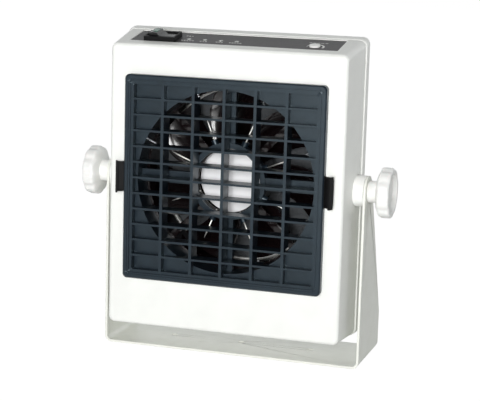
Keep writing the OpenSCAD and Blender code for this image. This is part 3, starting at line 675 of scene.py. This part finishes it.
# ---- Back fittings -----------------------------------------------------------------------------
# The mains inlet is a black snap-in moulding with three plated contacts. Beside it a turned brass
# terminal with a thumb nut takes the earth lead.

finished("power_inlet", black_abs, 0.2)
finished("inlet_pins", zinc, 0.2)
finished("earth_terminal", brass, 0.12)


# ---- Filter ------------------------------------------------------------------------------------
# A white slotted frame snaps over the intake in the rear cover and holds a pad of open-cell
# polyurethane foam, cut from sheet.

PAD_POWER, PAD_ROUNDING = 14, 8


def foam():
    """Reticulated polyurethane foam, charcoal: open cells about 1.5 mm across. The colour runs from
    grey on the struts to near black in the middle of each cell; the near black is painted shade deep in
    the open cells.
    """
    material, tree, shader = finish_of("open_cell_foam", Sheen_Weight=0.3, Roughness=0.9)
    place = put(tree, "TexCoord")
    cells = put(tree, "TexVoronoi", {"Vector": place.outputs["Object"], "Scale": 1 / (1.5 * MM)},
                feature="DISTANCE_TO_EDGE")
    # Grey at the cell edges, near black in the cell middles: the dark middles are painted shade in the
    # open cells.
    tint(tree, shader, cells.outputs["Distance"], "#55585b", "#1d1f21")
    relief(tree, shader, cells.outputs["Distance"], 0.5)
    return material


def pad_skin():
    """The pad as a superellipsoid slab: each section is a superellipse of power 14, and its size falls
    off towards both faces as the eighth root of 1 - d^8, where d is the depth from the middle."""
    low, high = (np.array(corner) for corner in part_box("filter_pad"))
    centre, half = (low + high) / 2, (high - low) / 2
    outline = superellipse(96, PAD_POWER)
    depth = np.sin(np.linspace(-np.pi / 2, np.pi / 2, 15))[1:-1]
    rim = (1 - np.abs(depth) ** PAD_ROUNDING) ** (1 / PAD_ROUNDING)
    face = np.linspace(0.2, 0.9, 8)
    size = np.concatenate([[0], face, rim, face[::-1], [0]])[:, None]
    level = np.concatenate([[-1] * 9, depth, [1] * 9])[:, None]
    return np.stack([
        centre[0] + half[0] * size * outline[:, 0],
        centre[1] + half[1] * level + 0 * size * outline[:, 0],
        centre[2] + half[2] * size * outline[:, 1],
    ], axis=-1)


finished("filter_frame", moulded_abs("white_filter_abs", "#eeefeb", "#f2f3ef"), 0.2)
pad = grid_mesh("filter_foam_pad", pad_skin(), foam(), sharp=60)
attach(pad, "filter_unit")
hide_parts("filter_pad")


# ---- Electronics -------------------------------------------------------------------------------
# Closed in the case: a high-voltage block cast in dark resin, and the power and control boards of
# glass-epoxy laminate with their parts soldered on.

def board_laminate():
    """Glass-epoxy board under green solder mask, with the weave just showing at 0.6 mm."""
    material, tree, shader = finish_of("green_solder_mask", IOR=1.52)
    tint(tree, shader, mottle(tree, 0.6), "#1c5232", "#25643e")
    gloss(tree, shader, mottle(tree, 3.0), 0.25, 0.35)
    return material


repaint(["hv_module"], satin_skin("potting_resin", "#222427", "#2a2c30", 0.35))
repaint(["power_board", "control_board"], board_laminate())


# ---- Studio ------------------------------------------------------------------------------------
# The object stands on a matt white board with a white sweep behind it and a dimmer room in front.
# One soft light stands before the face, and the camera looks down a little from the right.

FLOOR_HALF, FLOOR_DROP = 4.0, 0.0002
FLOOR_GLOW, FLOOR_SHARE = 1.12, 0.86
ROOM_LEVEL, SWEEP_LEVEL, CEILING_SHARE = 0.16, 1.05, 0.40


def pale_floor():
    """Matt white board. The camera sees it near white with the object's shadow faint on it."""
    material, tree, shader = finish_of("white_board", Roughness=0.9)
    tint(tree, shader, mottle(tree, 40.0), "#f4f4f3", "#f8f8f7")
    glow = put(tree, "Emission", {"Strength": FLOOR_GLOW})
    path = put(tree, "LightPath")
    share = put(tree, "Math", {0: path.outputs["Is Camera Ray"], 1: FLOOR_SHARE}, operation="MULTIPLY")
    pick = put(tree, "MixShader", {
        0: share.outputs["Value"], 1: shader.outputs["BSDF"], 2: glow.outputs["Emission"],
    })
    tree.links.new(pick.outputs["Shader"], tree.nodes["Material Output"].inputs["Surface"])
    return material


def sky():
    """White to the camera and through glass. The light it gives runs from the dim room in front, where
    the direction's Y is below -0.3, to the bright sweep behind, where it is above 0.3; it falls off
    towards the ceiling, where the direction's Z goes from 0.2 to 0.8."""
    world = bpy.data.worlds.new("studio_white")
    world.use_nodes = True
    tree = world.node_tree
    path = put(tree, "LightPath")
    shown = put(tree, "Math", {
        0: path.outputs["Is Camera Ray"], 1: path.outputs["Is Transmission Ray"],
    }, operation="MAXIMUM")
    place = put(tree, "TexCoord")
    parts = put(tree, "SeparateXYZ", {"Vector": place.outputs["Generated"]})
    around = put(tree, "MapRange", {
        "Value": parts.outputs["Y"], "From Min": -0.3, "From Max": 0.3,
        "To Min": ROOM_LEVEL, "To Max": SWEEP_LEVEL,
    })
    above = put(tree, "MapRange", {
        "Value": parts.outputs["Z"], "From Min": 0.2, "From Max": 0.8,
        "To Min": 1.0, "To Max": CEILING_SHARE,
    })
    level = put(tree, "Math", {
        0: around.outputs["Result"], 1: above.outputs["Result"],
    }, operation="MULTIPLY")
    plain = tree.nodes["Background"]
    plain.inputs["Color"].default_value = (0.97, 0.99, 1.0, 1.0)
    tree.links.new(level.outputs["Value"], plain.inputs["Strength"])
    white = put(tree, "Background", {"Color": (1.0, 1.0, 1.0, 1.0), "Strength": 1.0})
    pick = put(tree, "MixShader", {
        0: shown.outputs["Value"], 1: plain.outputs[0], 2: white.outputs[0],
    })
    tree.links.new(pick.outputs["Shader"], tree.nodes["World Output"].inputs["Surface"])
    bpy.context.scene.world = world


def lamp_towards(name, place, target, size, watts):
    """A square area light that faces a point. It tips from straight down by the angle between down and
    the line to the point, and then swings round to that line's heading."""
    light = bpy.data.lights.new(name, "AREA")
    light.size = size
    light.energy = watts
    lamp = add_object(name, light)
    lamp.location = place
    aim = np.array(target) - np.array(place)
    tip = math.atan2(math.hypot(aim[0], aim[1]), -aim[2])
    swing = math.atan2(aim[1], aim[0]) - math.pi / 2
    lamp.rotation_euler = (tip, 0.0, swing)


floor_mesh = bpy.data.meshes.new("floor")
floor_corners = [(x * FLOOR_HALF, y * FLOOR_HALF, 0) for x, y in ((-1, -1), (1, -1), (1, 1), (-1, 1))]
floor_mesh.from_pydata(floor_corners, [], [(0, 1, 2, 3)])
floor_mesh.materials.append(pale_floor())
floor = add_object("floor", floor_mesh)
floor.location.z = -FLOOR_DROP
sky()
lamp_towards("front_softbox", place=(0.28, -2.2, 0.50), target=(0.0, 0.0, 0.1), size=0.8, watts=42.0)

camera_data = bpy.data.cameras.new("camera")
camera_data.sensor_width = 36.0
camera_data.lens = 117.52
camera = add_object("camera", camera_data)
camera.location = (0.3016, -0.9803, 0.2890)
heading, dip, roll = (math.radians(angle) for angle in (17.3, 10.5, 1.6))
turned_round = Matrix.Rotation(heading, 3, "Z")
tipped_up = Matrix.Rotation(math.pi / 2 - dip, 3, "X")
rolled = Matrix.Rotation(roll, 3, "Z")
camera.rotation_mode = "QUATERNION"
camera.rotation_quaternion = (turned_round @ tipped_up @ rolled).to_quaternion()
bpy.context.scene.camera = camera
bpy.context.scene.view_settings.view_transform = "Standard"
